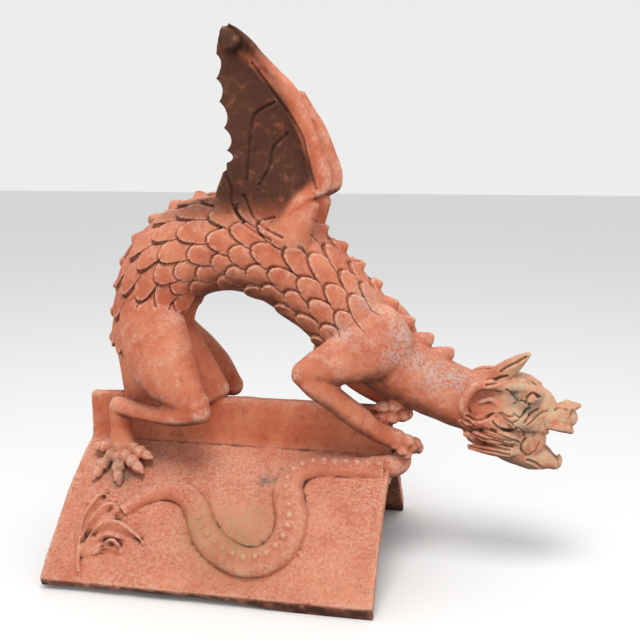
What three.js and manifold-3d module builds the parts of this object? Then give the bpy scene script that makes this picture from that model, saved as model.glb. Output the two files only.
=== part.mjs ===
// A terracotta ridge tile with a dragon crouching along its crest, moulded and fired as one piece.
// Millimetres. X runs along the ridge towards the dragon's head, Z is up, and the near flank is -Y.
// While it is built, the origin is on the floor under the middle of the tile. The finished body is
// moved so that the origin lies under the middle of its bounding box.

import * as THREE from 'three';
import { LoftGeometry } from 'three/addons/geometries/LoftGeometry.js';
import { mergeVertices } from 'three/addons/utils/BufferGeometryUtils.js';
import Module from 'manifold-3d';

const wasm = await Module();
wasm.setup();

// The ridge tile: two bowed slopes with an upright crest between them.
const tile = {
  length: 457,
  halfWidth: 192,
  edgeHeight: 17,
  creaseHeight: 164,
  crestHeight: 231,
  crestHalfThickness: 10,
  bow: 12,
  wall: 17,
  footWidth: 12,
};

// How much of the near eaves is worn off underneath, from the tail end to the head end: x and height.
const eavesWear = [[-228.5, 5], [-110, 9], [30, 8], [120, 0], [228.5, 0]];

// The trunk and neck: x, z, half depth in the upright plane, half width across it.
const trunkStations = [
  [-134, 232, 42, 34],
  [-129, 335, 56, 46],
  [-93, 425, 63, 54],
  [-15, 459, 67, 59],
  [66, 438, 64, 60],
  [140, 379, 58, 58],
  [200, 318, 54, 57],
  [260, 278, 46, 47],
  [318, 251, 42, 41],
  [354, 240, 42, 40],
];

// The coat of overlapping scales on the trunk, from rump to shoulders, as shares of its length.
const scaleCoat = {
  start: 0.1,
  end: 0.6,
  rows: 12,
  scalesOnEachFlank: 5,
  lastAngle: 136,
  pointsPerScale: 4,
  bellyPoints: 1,
  bulge: 0.8,
  lift: 5.5,
  step: 0.1,
};

// The thorns along the spine: first and last distance along the back, how many, their length, width
// and height, and how far the point leans towards the head, as a share of the length.
const tailThorns = { first: 88, last: 392, count: 9, length: 36, width: 26, height: 14, lean: -0.16 };
const headThorns = { first: 492, last: 775, count: 9, length: 34, width: 22, height: 16, lean: 0.22 };

const terracotta = { color: 0xb5583c, roughness: 0.9, metalness: 0 };

const up = new THREE.Vector3(0, 0, 1);
const acrossAxis = new THREE.Vector3(0, 1, 0);
const nearSide = -1;
const farSide = 1;

// A closed solid from a closed geometry: shared corners merged, collapsed triangles left out.
function toSolid(geometry) {
  const bare = new THREE.BufferGeometry();
  bare.setAttribute('position', geometry.getAttribute('position'));
  bare.setIndex(geometry.index);
  const merged = mergeVertices(bare, 1e-4);
  const corners = merged.index.array;
  const places = merged.attributes.position;
  const triangles = [];
  for (let i = 0; i < corners.length; i += 3) {
    const [a, b, c] = [corners[i], corners[i + 1], corners[i + 2]];
    if (a !== b && b !== c && c !== a) triangles.push([a, b, c]);
  }
  const corner = (i) => new THREE.Vector3().fromBufferAttribute(places, i);
  let volume = 0;
  for (const [a, b, c] of triangles) volume += corner(a).dot(corner(b).cross(corner(c)));
  const outward = volume > 0 ? triangles : triangles.map(([a, b, c]) => [a, c, b]);
  return new wasm.Manifold(new wasm.Mesh({
    numProp: 3,
    vertProperties: new Float32Array(places.array),
    triVerts: new Uint32Array(outward.flat()),
  }));
}

// A closed solid skinned over rings, with both ends capped. The rings are turned to wind outwards.
function skin(rings) {
  const centreOf = (ring) => ring.reduce((sum, p) => sum.add(p), new THREE.Vector3()).divideScalar(ring.length);
  const [first, second] = [rings[0], rings[1]];
  const centre = centreOf(first);
  const facing = new THREE.Vector3();
  first.forEach((p, i) => {
    const next = first[(i + 1) % first.length].clone().sub(centre);
    facing.add(p.clone().sub(centre).cross(next));
  });
  const outward = facing.dot(centreOf(second).sub(centre)) > 0;
  const turned = outward ? rings : rings.map((ring) => [...ring].reverse());
  return toSolid(new LoftGeometry(turned, { capStart: true, capEnd: true }));
}

// Joins solids two by two, so that no join gets much larger than the next.
function joinAll(solids) {
  let pile = solids.flat();
  while (pile.length > 1) {
    const next = [];
    for (let i = 0; i + 1 < pile.length; i += 2) next.push(pile[i].add(pile[i + 1]));
    if (pile.length % 2) next.push(pile[pile.length - 1]);
    pile = next;
  }
  return pile[0];
}

// A smooth path through stations of x, y, z, half width and half depth, with a frame at each place.
function pathThrough(stations, across = acrossAxis) {
  const centres = new THREE.CatmullRomCurve3(stations.map(([x, y, z]) => new THREE.Vector3(x, y, z)));
  const sizes = new THREE.CatmullRomCurve3(stations.map((s) => new THREE.Vector3(s[3], s[4], 0)));
  return (t) => {
    const centre = centres.getPoint(t);
    const along = centres.getTangent(t);
    const side = across.clone().addScaledVector(along, -across.dot(along)).normalize();
    const deep = new THREE.Vector3().crossVectors(along, side);
    const size = sizes.getPoint(t);
    return { centre, along, side, deep, halfWidth: size.x, halfDepth: size.y };
  };
}

// One oval ring of a limb. Grow scales it and shift moves it along the limb.
function ovalRing(frame, sides, grow = 1, shift = 0) {
  const ring = [];
  for (let i = 0; i < sides; i += 1) {
    const angle = (i / sides) * Math.PI * 2;
    ring.push(frame.centre.clone()
      .addScaledVector(frame.side, Math.cos(angle) * frame.halfWidth * grow)
      .addScaledVector(frame.deep, Math.sin(angle) * frame.halfDepth * grow)
      .addScaledVector(frame.along, shift));
  }
  return ring;
}

// A limb: oval rings along a smooth path, with a domed end where it shows.
function limb(stations, { sides = 8, perSpan = 1, domeStart = false, domeEnd = false, across } = {}) {
  const frameAt = pathThrough(stations, across);
  const steps = (stations.length - 1) * perSpan;
  const rings = [];
  const domeAngles = [35, 65];
  const dome = (frame, degrees, direction) => {
    const angle = THREE.MathUtils.degToRad(degrees);
    const reach = Math.min(frame.halfWidth, frame.halfDepth);
    rings.push(ovalRing(frame, sides, Math.cos(angle), direction * Math.sin(angle) * reach));
  };
  if (domeStart) for (const degrees of [...domeAngles].reverse()) dome(frameAt(0), degrees, -1);
  for (let i = 0; i <= steps; i += 1) rings.push(ovalRing(frameAt(i / steps), sides));
  if (domeEnd) for (const degrees of domeAngles) dome(frameAt(1), degrees, 1);
  return skin(rings);
}

// Turns stations written for the near side into those of the given side.
function sided(side, stations) {
  return stations.map(([x, y, z, ...sizes]) => [x, y * -side, z, ...sizes]);
}

// The tile.

// The outside of a slope, for the tile's section and for whatever lies on it. Down runs from 0 at the
// crease to 1 at the eaves, and lift is the height above the clay.
function onSlope(x, down, side, lift = 0) {
  const run = tile.halfWidth - tile.crestHalfThickness;
  const drop = tile.creaseHeight - tile.edgeHeight;
  const span = Math.hypot(run, drop);
  const rise = 4 * tile.bow * down * (1 - down) + lift;
  const y = tile.crestHalfThickness + run * down + (rise * drop) / span;
  const z = tile.creaseHeight - drop * down + (rise * run) / span;
  return new THREE.Vector3(x, side * y, z);
}

function tileSection(x, nearWear) {
  const slopeSteps = 4;
  const { crestHalfThickness: crest, crestHeight, creaseHeight, halfWidth, edgeHeight, footWidth } = tile;
  const half = (side, wear) => {
    const outline = [[crest - 3, crestHeight], [crest, crestHeight - 4], [crest, creaseHeight + 12], [crest + 4, creaseHeight + 2]];
    for (let i = 1; i <= slopeSteps; i += 1) {
      const place = onSlope(x, i / slopeSteps, farSide);
      outline.push([place.y, place.z]);
    }
    outline.push([halfWidth - 4, wear]);
    outline.push([halfWidth - 4 - footWidth, wear]);
    for (let i = slopeSteps - 1; i >= 1; i -= 1) {
      const place = onSlope(x, i / slopeSteps, farSide, -tile.wall);
      outline.push([place.y, place.z]);
    }
    return outline.map(([y, z]) => new THREE.Vector3(x, side * y, z));
  };
  return [...half(farSide, 0), ...half(nearSide, nearWear).reverse()];
}

function tileSolid() {
  return skin(eavesWear.map(([x, wear]) => tileSection(x, wear)));
}

// The trunk, with its scales and thorns.

const trunkAt = pathThrough(trunkStations.map(([x, z, halfDepth, halfWidth]) => [x, 0, z, halfWidth, halfDepth]));

function trunkSolids() {
  const sides = 10;
  const plainSkin = (from, to, steps, grow) => {
    const rings = [];
    for (let i = 0; i <= steps; i += 1) {
      rings.push(ovalRing(trunkAt(THREE.MathUtils.lerp(from, to, i / steps)), sides, grow));
    }
    return skin(rings);
  };
  const overlap = 0.04;
  return [
    plainSkin(0, scaleCoat.start + overlap, 3, 0.98),
    plainSkin(scaleCoat.end - overlap, 1, 7, 1),
  ];
}

// A place on the trunk's skin: t runs from rump to head, and the angle from the spine round the flank.
function onTrunk(t, degrees, side) {
  const frame = trunkAt(t);
  const angle = THREE.MathUtils.degToRad(degrees);
  const outX = Math.sin(angle) * side;
  const outZ = Math.cos(angle);
  const place = frame.centre.clone()
    .addScaledVector(frame.side, outX * frame.halfWidth)
    .addScaledVector(frame.deep, outZ * frame.halfDepth);
  const normal = new THREE.Vector3()
    .addScaledVector(frame.side, outX / frame.halfWidth)
    .addScaledVector(frame.deep, outZ / frame.halfDepth)
    .normalize();
  return { place, normal };
}

// The coat: every row of scales is a step. Its edge bulges towards the tail once for each scale and is
// raised by the lift there, and comes down to the skin between two scales and on the belly. Odd rows
// are set half a scale over.
function scaleCoatSolid() {
  const coat = scaleCoat;
  const flankPoints = coat.scalesOnEachFlank * coat.pointsPerScale;
  const rowGap = (coat.end - coat.start) / coat.rows;
  const columns = [];
  for (let i = -flankPoints; i <= flankPoints; i += 1) {
    columns.push({ degrees: (i / flankPoints) * coat.lastAngle, index: i + flankPoints, onBelly: false });
  }
  for (let i = 1; i <= coat.bellyPoints; i += 1) {
    const share = i / (coat.bellyPoints + 1);
    columns.push({ degrees: THREE.MathUtils.lerp(coat.lastAngle, 360 - coat.lastAngle, share), onBelly: true });
  }
  const ringAt = (edgeOf, grow = 1) => columns.map((column) => {
    const { t, lift } = edgeOf(column);
    const { place, normal } = onTrunk(t, column.degrees, farSide);
    place.addScaledVector(normal, lift);
    return trunkAt(t).centre.lerp(place, grow);
  });
  const rings = [ringAt(() => ({ t: coat.start, lift: 0 }), 0.9)];
  for (let row = 0; row < coat.rows; row += 1) {
    const t = coat.start + (row + 1) * rowGap;
    const stagger = (row % 2) * (coat.pointsPerScale / 2);
    const bulgeOf = ({ index, onBelly }) => {
      const share = (((index + stagger) % coat.pointsPerScale) / coat.pointsPerScale) * 2 - 1;
      return onBelly ? 0 : Math.sqrt(1 - share * share);
    };
    const low = (column) => ({ t: t - bulgeOf(column) * coat.bulge * rowGap, lift: 0 });
    const raised = (column) => {
      const free = bulgeOf(column) > 0 ? 1 : 0;
      return { t: low(column).t + free * coat.step * rowGap, lift: free * coat.lift };
    };
    rings.push(ringAt(low), ringAt(raised));
  }
  rings.push(ringAt(() => ({ t: coat.end + rowGap * 0.6, lift: 0 }), 0.93));
  return skin(rings);
}

// Distance along the back, from the rump, turned into a place on the trunk's path.
const backSamples = 400;
const backLengths = [0];
for (let i = 1; i <= backSamples; i += 1) {
  const before = onTrunk((i - 1) / backSamples, 0, farSide).place;
  const here = onTrunk(i / backSamples, 0, farSide).place;
  backLengths.push(backLengths[i - 1] + before.distanceTo(here));
}

function alongBack(distance) {
  const i = backLengths.findIndex((length) => length >= distance);
  return (i < 0 ? backSamples : i) / backSamples;
}

// A thorn: a five-sided point with its tip leaning along the spine.
function thorn(t, length, width, height, lean) {
  const { place, normal } = onTrunk(t, 0, farSide);
  const { along, side } = trunkAt(t);
  const sunk = 8;
  const geometry = new THREE.ConeGeometry(0.5, 1, 5, 1);
  geometry.rotateX(Math.PI / 2);
  geometry.translate(0, 0, 0.5);
  geometry.scale(length, width, height + sunk);
  const shear = new THREE.Matrix4().set(1, 0, (lean * length) / (height + sunk), 0, 0, 1, 0, 0, 0, 0, 1, 0, 0, 0, 0, 1);
  geometry.applyMatrix4(shear);
  const base = place.clone().addScaledVector(normal, -sunk);
  geometry.applyMatrix4(new THREE.Matrix4().makeBasis(along, side, normal).setPosition(base));
  return toSolid(geometry);
}

function thornRow({ first, last, count, length, width, height, lean }) {
  const thorns = [];
  for (let i = 0; i < count; i += 1) {
    const t = alongBack(first + ((last - first) * i) / (count - 1));
    thorns.push(thorn(t, length, width, height, lean));
  }
  return thorns;
}

// The wings. Each rib gives x and z of the leading edge, then of the trailing edge, from root to tip.
const wingRibs = [
  [106, 474, 14, 470],
  [104, 500, -11, 498],
  [120, 522, -14, 528],
  [143, 536, -6, 552],
  [146, 560, 3, 574],
  [135, 590, 2, 590],
  [121, 626, -1, 620],
  [100, 669, -8, 655],
  [62, 707, -13, 685],
  [36, 735, -11, 717],
  [18, 750, -7, 742],
  [6, 757, -3, 753],
];
const wingForm = {
  rootY: 51,
  tipY: 36,
  thickness: 11,
  tipShare: 0.75,
  dish: 10,
  firstScallop: 3,
  lastScallop: 9,
  scallop: 7,
};
const brokenWingTop = { ribs: 8, leading: 92, trailing: -6, height: 673 };

// Across a wing from the leading edge to the trailing edge: place, and share of the half thickness.
const wingSection = [[0, 0.3], [0.07, 1], [0.17, 0.95], [0.3, 0.55], [0.65, 0.48], [1, 0.3]];

function wing(side, ribs) {
  const form = wingForm;
  const leading = new THREE.CatmullRomCurve3(ribs.map((r) => new THREE.Vector3(r[0], 0, r[1])));
  const trailing = new THREE.CatmullRomCurve3(ribs.map((r) => new THREE.Vector3(r[2], 0, r[3])));
  const spans = ribs.length - 1;
  const places = ribs.map((_, span) => ({ t: span / spans, scalloped: false }));
  for (let span = form.firstScallop; span < Math.min(form.lastScallop, spans); span += 1) {
    places.push({ t: (span + 0.5) / spans, scalloped: true });
  }
  places.sort((a, b) => a.t - b.t);
  const rings = places.map(({ t, scalloped }) => {
    const front = leading.getPoint(t);
    const back = trailing.getPoint(t);
    const chord = back.clone().sub(front);
    if (scalloped) back.addScaledVector(chord.clone().normalize(), -form.scallop);
    const height = (front.z - ribs[0][1]) / (wingRibs[wingRibs.length - 1][1] - ribs[0][1]);
    const middle = THREE.MathUtils.lerp(form.rootY, form.tipY, height);
    const thickness = THREE.MathUtils.lerp(1, form.tipShare, height) * form.thickness;
    const edgeOf = (face) => wingSection.map(([u, share]) => {
      const dished = form.dish * Math.sin(Math.PI * u);
      const y = middle - dished + face * thickness * share;
      return front.clone().lerp(back, u).setY(side * y);
    });
    return [...edgeOf(1), ...edgeOf(-1).reverse()];
  });
  return skin(rings);
}

function wingSolids() {
  const { ribs, leading, trailing, height } = brokenWingTop;
  const shortRibs = [...wingRibs.slice(0, ribs - 1), [leading, height, trailing, height - 4]];
  return [wing(nearSide, wingRibs), wing(farSide, shortRibs)];
}

// Hind legs. Stations are x, y, z, half width, half depth, written for the near side with y negative.
const nearThighStations = [
  [-124, -30, 366, 30, 44],
  [-110, -48, 330, 34, 52],
  [-92, -60, 294, 34, 50],
  [-66, -70, 262, 28, 38],
  [-40, -78, 240, 19, 22],
];
const farThighStations = [
  [-136, -26, 352, 28, 34],
  [-118, -42, 320, 31, 40],
  [-92, -56, 288, 31, 40],
  [-58, -68, 256, 26, 33],
  [-30, -74, 230, 18, 17],
];
const shinStations = [
  [-34, -80, 231, 17, 18],
  [-66, -78, 221, 15, 14],
  [-120, -61, 219, 14, 13],
  [-168, -46, 223, 14, 14],
];
const ankleStations = [
  [-170, -44, 220, 13, 14],
  [-168, -41, 190, 15, 16],
  [-164, -48, 162, 16, 20],
];

// Digits run from root to claw tip: x, y, z of the root, the middle knuckle and the tip.
const hindDigits = [
  [[-178, -44, 160], [-195, -48, 157], [-209, -50, 160]],
  [[-174, -54, 152], [-187, -71, 136], [-194, -88, 120]],
  [[-166, -58, 149], [-160, -75, 134], [-152, -91, 117]],
  [[-158, -58, 152], [-138, -69, 143], [-120, -79, 132]],
  [[-150, -50, 160], [-129, -57, 155], [-111, -61, 149]],
];

// A digit: a knuckle and a tapering claw.
function digit(root, knuckle, tip, thickness = 8) {
  const at = (a, b, share) => a.map((value, i) => value + (b[i] - value) * share);
  const stations = [
    [...root, thickness, thickness],
    [...knuckle, thickness, thickness],
    [...at(knuckle, tip, 0.4), thickness * 0.7, thickness * 0.7],
    [...tip, thickness * 0.25, thickness * 0.25],
  ];
  return limb(stations, { sides: 5, across: new THREE.Vector3(0.3, 1, 0.1) });
}

function hindLeg(side, thigh) {
  const digits = hindDigits.map((places) => digit(...sided(side, places)));
  return [
    limb(sided(side, thigh), { sides: 9 }),
    limb(sided(side, shinStations), { domeStart: true, domeEnd: true }),
    limb(sided(side, ankleStations)),
    ...digits,
  ];
}

// Front legs: shoulder and upper arm run back to the elbow, the forearm forward to the crest's end.
const upperArmStations = [
  [226, -26, 338, 30, 50],
  [200, -42, 324, 31, 48],
  [160, -62, 307, 25, 34],
  [128, -71, 296, 18, 24],
  [112, -75, 291, 14, 17],
];
const nearForearmStations = [
  [110, -75, 290, 13, 15],
  [134, -70, 272, 17, 19],
  [162, -58, 247, 16, 18],
  [190, -44, 221, 15, 17],
  [214, -32, 200, 13, 15],
  [238, -24, 190, 13, 15],
];
const farForearmStations = [
  [110, 75, 290, 13, 15],
  [140, 68, 272, 17, 19],
  [176, 52, 252, 16, 18],
  [212, 34, 238, 15, 16],
  [240, 16, 228, 15, 14],
];
const nearHandDigits = [
  [[232, -26, 196], [256, -22, 186], [262, -10, 166]],
  [[236, -20, 190], [264, -12, 180], [268, 2, 163]],
  [[232, -28, 188], [248, -26, 174], [256, -16, 160]],
];
const farHandDigits = [
  [[250, -2, 237], [230, -17, 236], [200, -17, 231]],
  [[250, -4, 222], [226, -17, 219], [203, -17, 219]],
];

// The flesh between the thighs, which closes down onto the crest.
function groinSolid() {
  const stations = [[-112, 0, 340, 34, 44], [-92, 0, 285, 36, 50], [-72, 0, 228, 24, 62]];
  return limb(stations);
}

function frontLegs() {
  return [
    limb(sided(nearSide, upperArmStations), { sides: 9, domeStart: true, domeEnd: true }),
    limb(sided(farSide, upperArmStations), { sides: 9, domeStart: true, domeEnd: true }),
    limb(nearForearmStations, { domeStart: true }),
    limb(farForearmStations, { domeStart: true }),
    ...nearHandDigits.map((places) => digit(...places)),
    ...farHandDigits.map((places) => digit(...places, 9)),
  ];
}

// The tail: x, share down the slope, half width. It goes down the far slope, round the crest's end
// under the hands, and in a loop over the near slope to its leaf.
const farTail = [
  [-130, 0.02, 26], [-100, 0.14, 22], [-50, 0.2, 20], [20, 0.19, 18], [90, 0.16, 17], [160, 0.13, 17], [222, 0.12, 16],
];
const nearTail = [
  [222, 0.13, 16], [160, 0.14, 17], [125, 0.15, 18], [101, 0.21, 19], [92, 0.31, 21], [98, 0.42, 22],
  [106, 0.53, 22], [104, 0.66, 22], [86, 0.77, 21], [56, 0.81, 21], [20, 0.76, 21], [-9, 0.66, 20],
  [-27, 0.53, 18], [-48, 0.43, 17], [-79, 0.4, 15], [-109, 0.45, 13], [-136, 0.56, 10],
];
const tailCrossing = [
  [204, 34, 148, 12, 18],
  [234, 20, 150, 13, 17],
  [242, 0, 150, 15, 17],
  [234, -20, 150, 13, 17],
  [204, -34, 148, 12, 18],
];
const tailForm = { rise: 0.68, bumpRise: 4, nearRings: 47, farRings: 7 };

// The half section of what lies on a slope, in half widths and rises: its feet are inside the clay.
const reliefSection = [[-1, -0.35], [-0.8, 0.55], [0, 1], [0.8, 0.55], [1, -0.35]];

// A ribbon of relief on a slope, through x, share down and half width. Every second ring of a bumpy
// one has its crest raised.
function relief(stations, side, ringCount, { rise = tailForm.rise, bump = 0 } = {}) {
  const centres = new THREE.CatmullRomCurve3(stations.map(([x, down]) => onSlope(x, down, side)));
  const widths = new THREE.CatmullRomCurve3(stations.map(([, , width]) => new THREE.Vector3(width, 0, 0)));
  const outward = onSlope(0, 0.5, side, 1).sub(onSlope(0, 0.5, side, 0));
  const rings = [];
  for (let i = 0; i < ringCount; i += 1) {
    const t = i / (ringCount - 1);
    const centre = centres.getPoint(t);
    const across = new THREE.Vector3().crossVectors(outward, centres.getTangent(t)).normalize();
    const width = widths.getPoint(t).x;
    const raise = i % 2 ? bump * Math.min(1, width / 16) : 0;
    rings.push(reliefSection.map(([u, h]) => centre.clone()
      .addScaledVector(across, u * width)
      .addScaledVector(outward, h * width * rise + (u === 0 ? raise : 0))));
  }
  return skin(rings);
}

function tailSolids() {
  return [
    relief(farTail, farSide, tailForm.farRings),
    relief(nearTail, nearSide, tailForm.nearRings, { bump: tailForm.bumpRise }),
    limb(tailCrossing, { across: new THREE.Vector3(1, 0, 0.01) }),
  ];
}

// The leaf at the tail's end: curling lobes on the near slope, each x, share down, half width.
const leafLobes = [
  [[-126, 0.52, 10], [-152, 0.47, 14], [-178, 0.55, 14], [-196, 0.72, 3]],
  [[-130, 0.56, 11], [-152, 0.6, 16], [-170, 0.73, 13], [-178, 0.94, 3]],
  [[-152, 0.72, 8], [-138, 0.65, 14], [-112, 0.68, 14], [-94, 0.79, 3]],
  [[-172, 0.86, 5], [-152, 0.79, 11], [-122, 0.8, 3]],
];
const leafForm = { rise: 0.7, rings: 6 };

function leafSolids() {
  return leafLobes.map((lobe) => relief(lobe, nearSide, leafForm.rings, { rise: leafForm.rise }));
}

// The head. Every stroke of it is a limb: x, y, z, half width, half depth.
const headOnMiddle = {
  skull: [[338, 0, 244, 40, 42], [362, 0, 243, 43, 48], [390, 0, 240, 41, 49], [412, 0, 236, 36, 45], [430, 0, 237, 27, 33]],
  muzzle: [[420, 0, 233, 31, 26], [440, 0, 231, 25, 17], [456, 0, 229, 22, 17], [470, 0, 229, 19, 19], [478, 0, 228, 12, 16]],
  jaw: [[372, 0, 196, 36, 24], [398, 0, 186, 34, 26], [420, 0, 174, 29, 22], [440, 0, 170, 22, 19], [455, 0, 165, 15, 12]],
  noseHorn: [[464, 0, 240, 13, 9], [484, 0, 246, 5, 4]],
};
const headOnEachSide = {
  ear: [[388, -28, 268, 4, 5], [366, -42, 281, 9, 9], [341, -46, 275, 10, 10], [330, -44, 251, 9, 10], [348, -36, 228, 5, 6]],
  earLobe: [[388, -30, 264, 4, 6], [372, -40, 251, 9, 13], [350, -36, 238, 5, 7]],
  horn: [[360, -12, 274, 10, 13], [390, -15, 299, 8, 13], [415, -16, 321, 2, 3]],
  brow: [[372, -26, 270, 5, 6], [398, -33, 280, 10, 10], [424, -27, 275, 10, 9], [438, -12, 260, 6, 7]],
  eye: [[402, -30, 259, 3, 4], [417, -32, 260, 7, 6], [431, -22, 260, 4, 4]],
  cheek: [[374, -34, 246, 5, 6], [404, -37, 231, 11, 14], [438, -16, 213, 6, 8]],
  lip: [[432, -14, 222, 5, 6], [458, -20, 220, 7, 7], [478, -8, 216, 4, 5]],
  upperBeard: [[410, -26, 220, 5, 7], [366, -39, 227, 9, 11], [326, -38, 225, 2, 3]],
  middleBeard: [[420, -24, 203, 4, 7], [376, -38, 207, 9, 11], [332, -37, 207, 2, 3]],
  lowerBeard: [[424, -18, 184, 4, 6], [384, -34, 186, 8, 11], [338, -30, 187, 2, 4]],
};

function headSolids() {
  const middle = Object.values(headOnMiddle).map((stations) => limb(stations, { sides: 9, domeEnd: true }));
  const sides = [nearSide, farSide].flatMap((side) => (
    Object.values(headOnEachSide).map((stations) => limb(sided(side, stations), { sides: 5 }))
  ));
  return [...middle, ...sides];
}

const solid = joinAll([
  tileSolid(),
  trunkSolids(),
  scaleCoatSolid(),
  thornRow(tailThorns),
  thornRow(headThorns),
  wingSolids(),
  hindLeg(nearSide, nearThighStations),
  hindLeg(farSide, farThighStations),
  groinSolid(),
  frontLegs(),
  tailSolids(),
  leafSolids(),
  headSolids(),
]);

function toGeometry(body) {
  const { vertProperties, triVerts } = body.getMesh();
  const geometry = new THREE.BufferGeometry();
  geometry.setAttribute('position', new THREE.BufferAttribute(new Float32Array(vertProperties), 3));
  geometry.setIndex(new THREE.BufferAttribute(new Uint32Array(triVerts), 1));
  geometry.computeVertexNormals();
  return geometry;
}

const geometry = toGeometry(solid);
geometry.computeBoundingBox();
const box = geometry.boundingBox;
geometry.translate(-(box.min.x + box.max.x) / 2, -(box.min.y + box.max.y) / 2, -box.min.z);

const dragonTile = new THREE.Mesh(geometry, new THREE.MeshStandardMaterial(terracotta));
dragonTile.name = 'dragon_ridge_tile';

const group = new THREE.Group();
group.add(dragonTile);

export default group;
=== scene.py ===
import math

import bpy
import numpy as np
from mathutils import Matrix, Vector


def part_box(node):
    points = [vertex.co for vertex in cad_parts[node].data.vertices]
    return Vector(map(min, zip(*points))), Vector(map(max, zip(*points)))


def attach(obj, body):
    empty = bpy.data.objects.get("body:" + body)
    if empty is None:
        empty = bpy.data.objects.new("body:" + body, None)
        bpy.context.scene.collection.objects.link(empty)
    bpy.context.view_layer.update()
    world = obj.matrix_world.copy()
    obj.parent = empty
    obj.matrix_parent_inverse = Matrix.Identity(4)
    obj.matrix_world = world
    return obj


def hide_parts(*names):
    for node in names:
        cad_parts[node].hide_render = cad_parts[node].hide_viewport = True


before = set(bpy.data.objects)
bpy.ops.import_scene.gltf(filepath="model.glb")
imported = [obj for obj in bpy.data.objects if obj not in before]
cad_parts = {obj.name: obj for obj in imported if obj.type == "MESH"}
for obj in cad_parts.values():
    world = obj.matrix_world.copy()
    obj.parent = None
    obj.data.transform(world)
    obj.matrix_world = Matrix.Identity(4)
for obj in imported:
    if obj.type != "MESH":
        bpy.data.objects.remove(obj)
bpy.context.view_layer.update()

lowCorner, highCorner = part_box("dragon_ridge_tile")
print("frame loaded")

# The clay is shaped in millimetres, with x from the middle of the tile and z from its feet.
# The near side is -y. Lists for a pair of limbs or wings are written for the near side.
nearSide, farSide = -1, 1

# Shaping tools.


def rowPlace(points):  # millimetres of the tile, to metres of the row
    shift = np.array([lowCorner.x + tile["length"] / 2000, 0, 0])
    return np.asarray(points, float) / 1000 + shift


def smoothPath(stations, shares):  # a centripetal curve through the stations
    p = np.asarray(stations, float)
    last = len(p) - 1
    at = np.asarray(shares, float) * last
    i = np.clip(np.floor(at).astype(int), 0, last - 1)
    w = (at - i)[:, None]
    padded = np.vstack([2 * p[0] - p[1], p, 2 * p[-1] - p[-2]])
    p0, p1, p2, p3 = padded[i], padded[i + 1], padded[i + 2], padded[i + 3]
    gap = lambda a, b: np.maximum(np.sqrt(np.linalg.norm(b - a, axis=1)), 1e-2)[:, None]
    d0, d1, d2 = gap(p0, p1), gap(p1, p2), gap(p2, p3)
    m1 = ((p1 - p0) / d0 - (p2 - p0) / (d0 + d1) + (p2 - p1) / d1) * d1
    m2 = ((p2 - p1) / d1 - (p3 - p1) / (d1 + d2) + (p3 - p2) / d2) * d1
    return p1 + m1 * w + (3 * (p2 - p1) - 2 * m1 - m2) * w**2 + (2 * (p1 - p2) + m1 + m2) * w**3


def unit(v):
    return v / np.maximum(np.linalg.norm(v, axis=-1, keepdims=True), 1e-9)


def ramp(values, low, high):
    t = np.clip((values - low) / (high - low), 0, 1)
    return t * t * (3 - 2 * t)


def pathFrames(stations, shares, across=(0, 1, 0)):  # centre, along, side, deep, half sizes
    stations, shares = np.asarray(stations, float), np.atleast_1d(np.asarray(shares, float))
    centre = smoothPath(stations[:, :3], shares)
    step = 1e-3
    along = unit(smoothPath(stations[:, :3], shares + step) - smoothPath(stations[:, :3], shares - step))
    across = np.broadcast_to(np.asarray(across, float), along.shape)
    side = unit(across - along * (across * along).sum(1, keepdims=True))
    return centre, along, side, np.cross(along, side), smoothPath(stations[:, 3:], shares)


def skinned(rings):  # a closed skin over rings of points, with a point in the middle of each end
    rings = np.asarray(rings, float)
    count, sides = rings.shape[:2]
    verts = np.vstack([rings.reshape(-1, 3), rings[0].mean(0), rings[-1].mean(0)])
    faces = []
    for r in range(count - 1):
        for s in range(sides):
            a, b = r * sides + s, r * sides + (s + 1) % sides
            faces.append((a, b, b + sides, a + sides))
    first, final = len(verts) - 2, len(verts) - 1
    for s in range(sides):
        t = (s + 1) % sides
        faces.append((first, t, s))
        faces.append((final, (count - 1) * sides + s, (count - 1) * sides + t))
    return verts, faces


def slab(top, bottom):  # a closed plate between two grids of points
    rows, columns = top.shape[:2]
    size = rows * columns
    verts = np.vstack([top.reshape(-1, 3), bottom.reshape(-1, 3)])
    faces = []
    for r in range(rows - 1):
        for c in range(columns - 1):
            a = r * columns + c
            quad = (a, a + 1, a + columns + 1, a + columns)
            faces.append(quad)
            faces.append(tuple(size + i for i in reversed(quad)))
    rim = list(range(columns)) + [r * columns + columns - 1 for r in range(1, rows)]
    rim += [(rows - 1) * columns + c for c in range(columns - 2, -1, -1)]
    rim += [r * columns for r in range(rows - 2, 0, -1)]
    for i, a in enumerate(rim):
        b = rim[(i + 1) % len(rim)]
        faces.append((b, a, a + size, b + size))
    return verts, faces


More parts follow.
